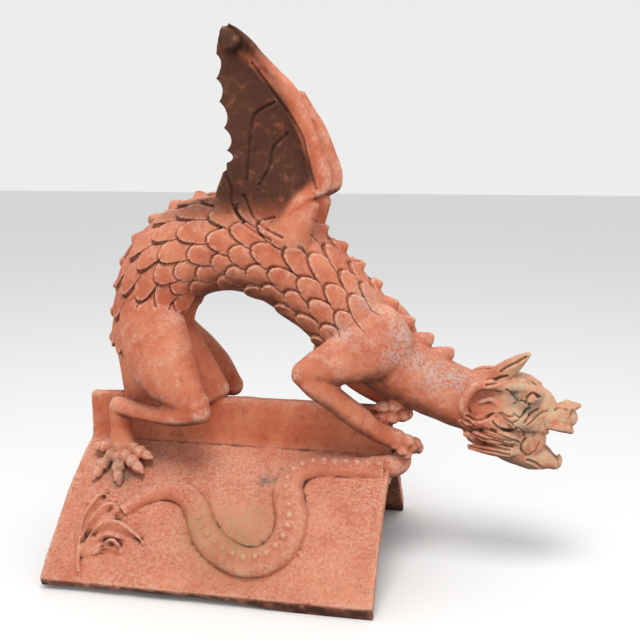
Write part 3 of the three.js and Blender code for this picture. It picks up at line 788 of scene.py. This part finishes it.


# the nearness is laid on later as staining and painted shade along cuts, in the leaf's hollows and in the
# mouth
def lineField(points):  # cut depth in millimetres at each point, and how near it lies to a cut
    cut, near = np.zeros(len(points)), np.zeros(len(points))
    for group in carving.values():
        for line in group["lines"]:
            (x0, z0), (x1, z1) = np.min(line, 0) - 9, np.max(line, 0) + 9
            x, y, z = points.T
            inside = (x > x0) & (x < x1) & (z > z0) & (z < z1) & (np.abs(y) > group["outside"])
            chosen = np.flatnonzero(inside)
            d = distanceTo(points[chosen][:, [0, 2]], line)
            width = group["width"]
            burr = np.exp(-(((d - 2.4 * width) / width) ** 2))  # clay pushed up beside the cut
            depth = group["depth"] * (np.exp(-((d / width) ** 2)) - 0.3 * burr)
            cut[chosen] = np.where(np.abs(depth) > np.abs(cut[chosen]), depth, cut[chosen])
            near[chosen] = np.maximum(near[chosen], group["stainAndShade"] * np.exp(-((d / (1.2 * width)) ** 2)))
    for hollow in leaf["hollows"]:
        x, down = np.transpose(hollow)
        path = onSlope(x, down, nearSide, 5)
        chosen = np.flatnonzero((points[:, 0] < -80) & (points[:, 1] < -60) & (points[:, 2] < 140))
        d = distanceTo(points[chosen][:, [0, 2]], path[:, [0, 2]]) * 1.15
        bowl = np.exp(-((d / leaf["hollowWidth"]) ** 2))
        cut[chosen] = np.maximum(cut[chosen], leaf["hollowDepth"] * bowl)
        near[chosen] = np.maximum(near[chosen], 0.35 * bowl)
    x, y, z = points.T
    (back, front), (low, high) = mouth["x"], mouth["z"]
    within = (x > back) & (x < front) & (z > low) & (z < high)
    jawTop = mouth["jawTop"] - (x - back) * mouth["jawFall"]
    trough = np.clip(1 - (y / mouth["halfWidth"]) ** 2, 0, 1) * ramp(z - jawTop, -14, -6) * within
    return cut + mouth["depth"] * trough, np.maximum(near, 0.5 * trough)


def unevenness(points, size, seed):  # smooth random swells of about that size, -1 to 1
    grid = np.random.default_rng(seed).uniform(-1, 1, (24, 24, 24))
    at = points / size
    base = np.floor(at).astype(int)
    f = at - base
    f = f * f * (3 - 2 * f)
    total = np.zeros(len(points))
    for corner in range(8):
        step = np.array([corner & 1, corner >> 1 & 1, corner >> 2 & 1])
        weight = np.prod(np.where(step, f, 1 - f), axis=1)
        i, j, k = ((base + step) % 24).T
        total += weight * grid[i, j, k]
    return total


# Pressing it together.

build = {
    "bodyVoxel": 2.6, "bodySmoothing": 8, "skinVoxel": 1.5, "skinSmoothing": 1, "triangles": 192000,
    # swells left by hands and mould: size and height
    "swells": [(46, 0.9), (17, 0.5), (6, 0.22)],
}

body = fused(clayMesh(bodyForms()), build["bodyVoxel"], build["bodySmoothing"])
print("body pressed:", len(body.vertices))

details = tileForms() + scaleForms() + thornForms() + wingForms() + digitForms() + tailForms() + headForms()
detailMesh = clayMesh(details)
bodyFaces = [tuple(p.vertices) for p in body.polygons]
detailFaces = [tuple(p.vertices) for p in detailMesh.polygons]
joined = clayMesh([(placesOf(body), bodyFaces), (placesOf(detailMesh), detailFaces)])
skin = fused(joined, build["skinVoxel"], build["skinSmoothing"])
print("skin pressed:", len(skin.vertices))

places, normals = placesOf(skin), normalsOf(skin)
groove, lip = scaleField(places)
cut, _ = lineField(places)
lift = -scales["groove"] * groove + 0.3 * lip - cut
for seed, (size, height) in enumerate(build["swells"]):
    lift += unevenness(places, size, seed) * height
grounded = np.clip(places[:, 2] / 3, 0, 1)  # the feet stay flat
places += normals * (lift * grounded)[:, None]
low, high = (np.array(c) * 1000 for c in (lowCorner, highCorner))
middle = tile["length"] / 2 + low[0]
places = np.clip(places, low - [middle, 0, 0], high - [middle, 0, 0])
skin.vertices.foreach_set("co", places.astype(np.float32).ravel())
print("skin carved")

ratio = min(1.0, build["triangles"] / (2 * len(skin.polygons)))
thinning = {"decimate_type": "COLLAPSE", "ratio": ratio, "use_collapse_triangulate": True}
clay = worked(skin, ("TRIANGULATE", {}), ("DECIMATE", thinning))
clayPlaces = placesOf(clay)
clay.vertices.foreach_set("co", rowPlace(clayPlaces).astype(np.float32).ravel())
clay.shade_smooth()
print("clay thinned:", len(clay.polygons))

dragon = bpy.data.objects.new("dragon_ridge_tile_clay", clay)
bpy.context.scene.collection.objects.link(dragon)
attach(dragon, "root")
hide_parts("dragon_ridge_tile")

# What weather and age left, and painted shade, kept on the clay as soft masks.

patches = {
    # x, y, z and reach of each patch, in millimetres
    "moss": [
        (30, -140, 60, 45), (-10, -130, 75, 34), (75, -135, 50, 30), (60, -100, 80, 26),
        (-30, -110, 90, 18),
    ],
    "bloom": [
        (248, -46, 345, 26), (236, -52, 318, 18), (290, -36, 290, 26), (318, -30, 280, 22),
        (205, -50, 392, 22), (262, -40, 312, 22), (172, -58, 345, 20),
    ],
    "greenGrey": [
        (400, -36, 262, 15), (412, -34, 246, 12), (425, -26, 262, 9), (412, -34, 222, 12),
        (90, -60, 130, 16), (60, -66, 128, 14), (-165, -62, 140, 22), (-150, -80, 126, 16),
    ],
}


def smoothed(values, a, b, count, rounds):  # values spread over neighbouring points
    for _ in range(rounds):
        total = np.stack([
            np.bincount(a, values[:, i][b], len(values)) + np.bincount(b, values[:, i][a], len(values))
            for i in range(values.shape[1])
        ], 1)
        values = 0.5 * values + 0.5 * total / count[:, None]
    return values


def nearPatches(points, name):
    total = np.zeros(len(points))
    for x, y, z, reach in patches[name]:
        d = np.linalg.norm(points - [x, y, z], axis=1) / reach
        total = np.maximum(total, np.exp(-(d**2)))
    return total


def ageMasks(mesh, points, normals):
    edges = np.empty(len(mesh.edges) * 2, np.int32)
    mesh.edges.foreach_get("vertices", edges)
    a, b = edges.reshape(-1, 2).T
    count = np.maximum(np.bincount(a, minlength=len(points)) + np.bincount(b, minlength=len(points)), 1)
    hollow = {}
    spread = points
    rounds = 0
    for name, upTo in (("fine", 3), ("middle", 14), ("broad", 60)):
        spread = smoothed(spread, a, b, count, upTo - rounds)
        rounds = upTo
        hollow[name] = ((spread - points) * normals).sum(1)
    groove, lip = scaleField(points)
    _, line = lineField(points)
    x, y, z = points.T
    leading = [(rib[0], rib[1]) for rib in wings["ribs"]]
    chord = np.where((y < -12) & (z > 470), distanceTo(points[:, [0, 2]], leading), 0)
    # crease and cave are soiling and painted shade in creases and broad hollows; under and eaves are painted
    # shade on down-facing surfaces and along the tile's foot edge
    crease = np.maximum(ramp(hollow["fine"], 0.15, 0.9), ramp(hollow["middle"], 0.5, 3.2))
    cave = crease * 0.7 + ramp(hollow["broad"], 1.5, 8) * 0.5
    rubbed = ramp(-hollow["fine"], 0.15, 0.7) * 0.6 + ramp(-hollow["middle"], 0.6, 3.2) * 0.5
    under = ramp(-normals[:, 2], -0.05, 0.8)
    slope = (z < 175) & (np.abs(y) > 13)
    eaves = ramp(-z, -20, -12) * (np.abs(y) > 165) * (0.75 + 0.25 * unevenness(points, 9, 35))
    facing = ramp(-normals[:, 1], 0.15, 0.6)
    return {
        # the first mask is real soiling in hollows together with painted shade in creases, scale grooves,
        # carved lines, undersides and the foot edge
        "grime": np.clip(np.maximum.reduce([cave, groove * 0.85, line, 0.8 * under, 1.2 * eaves]), 0, 1),
        "edgeWear": np.clip(rubbed + lip * 0.4, 0, 1),
        "buff": ramp(x, 350, 405) * (0.75 + 0.25 * unevenness(points, 16, 31)),
        "moss": nearPatches(points, "moss"),
        "bloom": nearPatches(points, "bloom"),
        # sooty weathering and painted shade on the near wing: its dished face turned to the near side, and
        # its top
        "sootAndShade": np.maximum(ramp(chord, 15, 27) * facing * ramp(z, 478, 530), ramp(z, 690, 735) * (y < 0)),
        "greenGrey": nearPatches(points, "greenGrey"),
        "dust": ramp(normals[:, 2], 0.25, 0.95) * (0.65 + 0.35 * unevenness(points, 26, 33)) + 0.3 * slope,
    }


masks = ageMasks(clay, clayPlaces, normalsOf(clay))
for name, values in masks.items():
    attribute = clay.attributes.new(name, "FLOAT", "POINT")
    attribute.data.foreach_set("value", np.clip(values, 0, 1).astype(np.float32))
print("age laid on:", ", ".join(masks))

# Colour and material tools.


def fromHex(code):  # sRGB hex to linear
    parts = [int(code[i : i + 2], 16) / 255 for i in (1, 3, 5)]
    return (*[c / 12.92 if c <= 0.04045 else ((c + 0.055) / 1.055) ** 2.4 for c in parts], 1)


def addNode(tree, kind, settings=None, **links):  # a node, its settings, and what feeds or fills its sockets
    node = tree.nodes.new(kind)
    for name, value in (settings or {}).items():
        setattr(node, name, value)
    for name, value in links.items():
        socket = node.inputs[int(name[1:])] if name[1:].isdigit() else node.inputs[name.replace("_", " ")]
        if isinstance(value, bpy.types.NodeSocket):
            tree.links.new(value, socket)
        else:
            socket.default_value = value
    return node


# Terracotta fired once, unglazed, pressed in a plaster mould and worked by hand while damp.
# To the eye: a matt orange-red body that flashes paler and pinker where the kiln was hotter, open
# pores and grog specks, soiling and painted shade in every hollow, and pale rubbed edges.
terracotta = {
    # the two darkest browns serve for soiling and for painted shade
    "clay": "#B95F42", "flash": "#CC7C5B", "deep": "#98462E", "pale": "#DDAE97", "grime": "#2A1810",
    "sootAndShade": "#3A2116", "buff": "#D2B896", "moss": "#7F7A45", "bloom": "#B9B4AE", "slate": "#5C6259",
    "speck": "#3B2A22",
    # size of the blots in millimetres, detail, roughness of the pattern; pores are drawn a little
    # coarser than the real ones, which are under half a millimetre
    "patterns": {
        "kiln": (70, 4.0, 0.6), "mottle": (14, 6.0, 0.7), "grain": (4.5, 5.0, 0.75),
        "grog": (2.2, 3.0, 0.7), "pores": (1.3, 1.0, 0.5),
    },
    # from the clay outwards: colour, mask or none, pattern, where it starts and is full, strength
    "coats": [
        ("flash", None, "kiln", 0.35, 0.68, 1.0), ("deep", None, "mottle", 0.5, 0.78, 0.75),
        ("pale", "dust", "grain", 0.3, 0.75, 0.8), ("pale", "grogBeds", "grog", 0.52, 0.75, 0.4),
        ("pale", "edgeWear", "grain", 0.32, 0.6, 0.8), ("buff", "buff", "mottle", 0.3, 0.62, 0.9),
        ("bloom", "bloom", "grain", 0.4, 0.62, 0.8), ("moss", "moss", "grain", 0.36, 0.62, 0.85),
        # the wing's dark coat and the coat over hollows, grooves and undersides are partly painted shade
        ("slate", "greenGrey", "mottle", 0.34, 0.6, 0.85), ("sootAndShade", "sootAndShade", "mottle", 0.05, 0.5, 0.93),
        ("grime", None, "dirtAndShade", 0.1, 0.95, 0.93), ("speck", None, "pores", 0.68, 0.76, 0.75),
    ],
    "roughest": 0.94, "smoothest": 0.78, "specular": 0.3, "bump": 0.55, "bumpHeight": 0.0011,
}


def firedTerracotta():
    material = bpy.data.materials.new("firedTerracotta")
    material.use_nodes = True
    tree = material.node_tree
    shader = tree.nodes["Principled BSDF"]
    smooth = {"interpolation_type": "SMOOTHSTEP"}
    clamped = {"operation": "MULTIPLY", "use_clamp": True}
    place = addNode(tree, "ShaderNodeTexCoord").outputs["Object"]

    fields = {}
    for name, (size, detail, rough) in terracotta["patterns"].items():
        pattern = {"Vector": place, "Scale": 1000 / size, "Detail": detail, "Roughness": rough}
        fields[name] = addNode(tree, "ShaderNodeTexNoise", None, **pattern).outputs["Fac"]
    for name in masks:
        fields[name + "Mask"] = addNode(tree, "ShaderNodeAttribute", {"attribute_name": name}).outputs["Fac"]
    mottle = fields["mottle"]
    beds = addNode(tree, "ShaderNodeMapRange", smooth, _0=mottle, _1=0.35, _2=0.6, _4=1.0)
    fields["grogBedsMask"] = beds.outputs[0]
    patchy = addNode(tree, "ShaderNodeMapRange", None, _0=mottle, _1=0.3, _2=0.6, _3=0.75, _4=1.0).outputs[0]
    # the soiling and painted shade mask, broken up by the mottle
    fields["dirtAndShade"] = addNode(tree, "ShaderNodeMath", clamped, _0=fields["grimeMask"], _1=patchy).outputs[0]

    colour = fromHex(terracotta["clay"])
    for coat, maskName, pattern, start, full, strength in terracotta["coats"]:
        spread = {"_0": fields[pattern], "_1": start, "_2": full, "_4": strength}
        share = addNode(tree, "ShaderNodeMapRange", smooth, **spread).outputs[0]
        if maskName:
            laid = fields[maskName + "Mask"]
            share = addNode(tree, "ShaderNodeMath", clamped, _0=laid, _1=share).outputs[0]
        over = {"_0": share, "_6": colour, "_7": fromHex(terracotta[coat])}
        colour = addNode(tree, "ShaderNodeMix", {"data_type": "RGBA"}, **over).outputs[2]
    tree.links.new(colour, shader.inputs["Base Color"])

    worn = {"_0": mottle, "_1": 0.3, "_2": 0.7, "_3": terracotta["smoothest"], "_4": terracotta["roughest"]}
    roughness = addNode(tree, "ShaderNodeMapRange", None, **worn).outputs[0]
    tree.links.new(roughness, shader.inputs["Roughness"])
    shader.inputs["IOR"].default_value = 1.45
    shader.inputs["Specular IOR Level"].default_value = terracotta["specular"]

    # grain and grog stand up, pores (the last coat's share) sink in
    grains = {"_0": fields["grain"], "_1": 0.6, "_2": fields["grog"]}
    surface = addNode(tree, "ShaderNodeMath", {"operation": "MULTIPLY_ADD"}, **grains).outputs[0]
    surface = addNode(tree, "ShaderNodeMath", {"operation": "SUBTRACT"}, _0=surface, _1=share).outputs[0]
    height = {"Height": surface, "Strength": terracotta["bump"], "Distance": terracotta["bumpHeight"]}
    bump = addNode(tree, "ShaderNodeBump", None, **height)
    tree.links.new(bump.outputs[0], shader.inputs["Normal"])
    return material


clay.materials.append(firedTerracotta())
print("terracotta fired")

# Floor, light and camera.

studio = {
    "floor": "#F1F0EE", "floorHalf": 12.0, "skyTop": "#E6E8EA", "skyHorizon": "#F6F6F5", "skyStrength": 0.92,
    # the lamp's place and the point it faces, in metres, its side and its watts
    "lamp": (0.1, -1.0, 2.5), "lampTarget": (0, 0, 0.3), "lampSide": 1.1, "lampPower": 40,
    # the camera's place, the point it looks at, in millimetres of the tile, and its lens
    "camera": (366.1, -1239.5, 586.5), "target": (122.9, 0, 352.4), "lens": 50.625, "sensor": 36,
}
floorMesh = bpy.data.meshes.new("floor")
half = studio["floorHalf"]
floorCorners = [(-half, -half, 0), (half, -half, 0), (half, half, 0), (-half, half, 0)]
floorMesh.from_pydata(floorCorners, [], [(0, 1, 2, 3)])
floor = bpy.data.objects.new("floor", floorMesh)
bpy.context.scene.collection.objects.link(floor)
floorPaint = bpy.data.materials.new("matFloorPaint")
floorPaint.use_nodes = True
floorShader = floorPaint.node_tree.nodes["Principled BSDF"]
floorShader.inputs["Base Color"].default_value = fromHex(studio["floor"])
floorShader.inputs["Roughness"].default_value = 0.9
floorMesh.materials.append(floorPaint)

world = bpy.data.worlds.new("softStudio")
world.use_nodes = True
sky = world.node_tree
skyPlace = addNode(sky, "ShaderNodeTexCoord").outputs["Generated"]
skyHeight = addNode(sky, "ShaderNodeSeparateXYZ", None, Vector=skyPlace).outputs["Z"]
skyShare = addNode(sky, "ShaderNodeMapRange", None, _0=skyHeight, _1=0.12, _2=0.45).outputs[0]
skyColours = {"_6": fromHex(studio["skyHorizon"]), "_7": fromHex(studio["skyTop"])}
skyMix = addNode(sky, "ShaderNodeMix", {"data_type": "RGBA"}, _0=skyShare, **skyColours)
sky.links.new(skyMix.outputs[2], sky.nodes["Background"].inputs["Color"])
sky.nodes["Background"].inputs["Strength"].default_value = studio["skyStrength"]
bpy.context.scene.world = world

softbox = bpy.data.lights.new("keyLight", "AREA")
softbox.shape, softbox.size, softbox.energy = "SQUARE", studio["lampSide"], studio["lampPower"]
lamp = bpy.data.objects.new("keyLight", softbox)
lamp.location = studio["lamp"]
lampAim = Vector(studio["lampTarget"]) - Vector(studio["lamp"])
lamp.rotation_euler = lampAim.to_track_quat("-Z", "Y").to_euler()
bpy.context.scene.collection.objects.link(lamp)

cameraData = bpy.data.cameras.new("camera")
cameraData.lens, cameraData.sensor_width = studio["lens"], studio["sensor"]
camera = bpy.data.objects.new("camera", cameraData)
cameraPlace, cameraTarget = Vector(rowPlace(studio["camera"])), Vector(rowPlace(studio["target"]))
camera.location = cameraPlace
camera.rotation_euler = (cameraTarget - cameraPlace).to_track_quat("-Z", "Y").to_euler()
bpy.context.scene.collection.objects.link(camera)
bpy.context.scene.camera = camera
bpy.context.scene.view_settings.view_transform = "Standard"
print("studio set")
